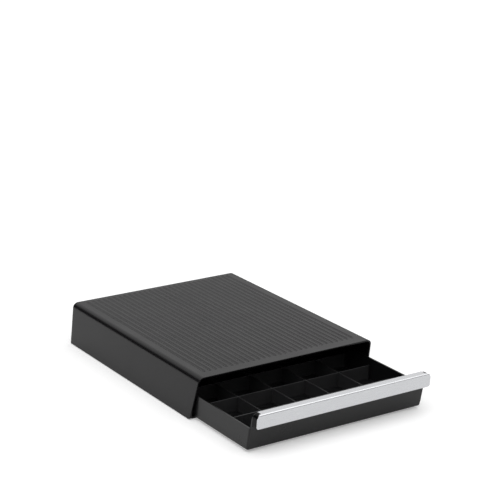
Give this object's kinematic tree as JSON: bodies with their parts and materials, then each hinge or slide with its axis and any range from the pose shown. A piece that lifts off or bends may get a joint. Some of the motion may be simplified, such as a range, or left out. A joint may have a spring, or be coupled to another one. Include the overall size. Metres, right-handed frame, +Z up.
{
  "type": "coffee pod drawer",
  "caption": "Low ribbed housing that a coffee machine stands on, with a sliding drawer of pod cells under it and a silver pull strip across the drawer's front.",
  "frame": {"origin": "on the table, in the middle of the box round the drawer as it stands part open", "axes": "+Z up, +Y to the back, the drawer slides out along -Y, +X to the right as seen from the front"},
  "size_m": [0.2824, 0.4676, 0.0608],
  "materials": {
    "housing_plastic": "fine moulded texture, charcoal",
    "drawer_plastic": "fine moulded texture, black",
    "divider_plastic": "smooth moulded sheet, black",
    "runner_plastic": "smooth, low friction",
    "pull_silver": "anodised, finely brushed along its length",
    "foot_rubber": "matt",
    "screw_steel": "zinc plated"
  },
  "bodies": {
    "housing": {"housing_cover": "housing_plastic", "base_panel": "housing_plastic", "left_runner": "runner_plastic", "right_runner": "runner_plastic", "left_stop": "runner_plastic", "right_stop": "runner_plastic", "foot_front_left": "foot_rubber", "foot_front_right": "foot_rubber", "foot_back_left": "foot_rubber", "foot_back_right": "foot_rubber"},
    "drawer": {"drawer_tray": "drawer_plastic", "pull_core": "drawer_plastic", "left_pull_cap": "drawer_plastic", "right_pull_cap": "drawer_plastic", "pull_strip": "pull_silver", "pull_screws": "screw_steel", "long_divider_1": "divider_plastic", "long_divider_2": "divider_plastic", "long_divider_3": "divider_plastic", "long_divider_4": "divider_plastic", "cross_divider_1": "divider_plastic", "cross_divider_2": "divider_plastic", "cross_divider_3": "divider_plastic", "cross_divider_4": "divider_plastic", "cross_divider_5": "divider_plastic"}
  },
  "joints": [
    {"name": "drawer_slide", "type": "slide", "parent": "housing", "child": "drawer", "axis": [0, -1, 0], "range_m": [-0.122, 0.1047]}
  ]
}
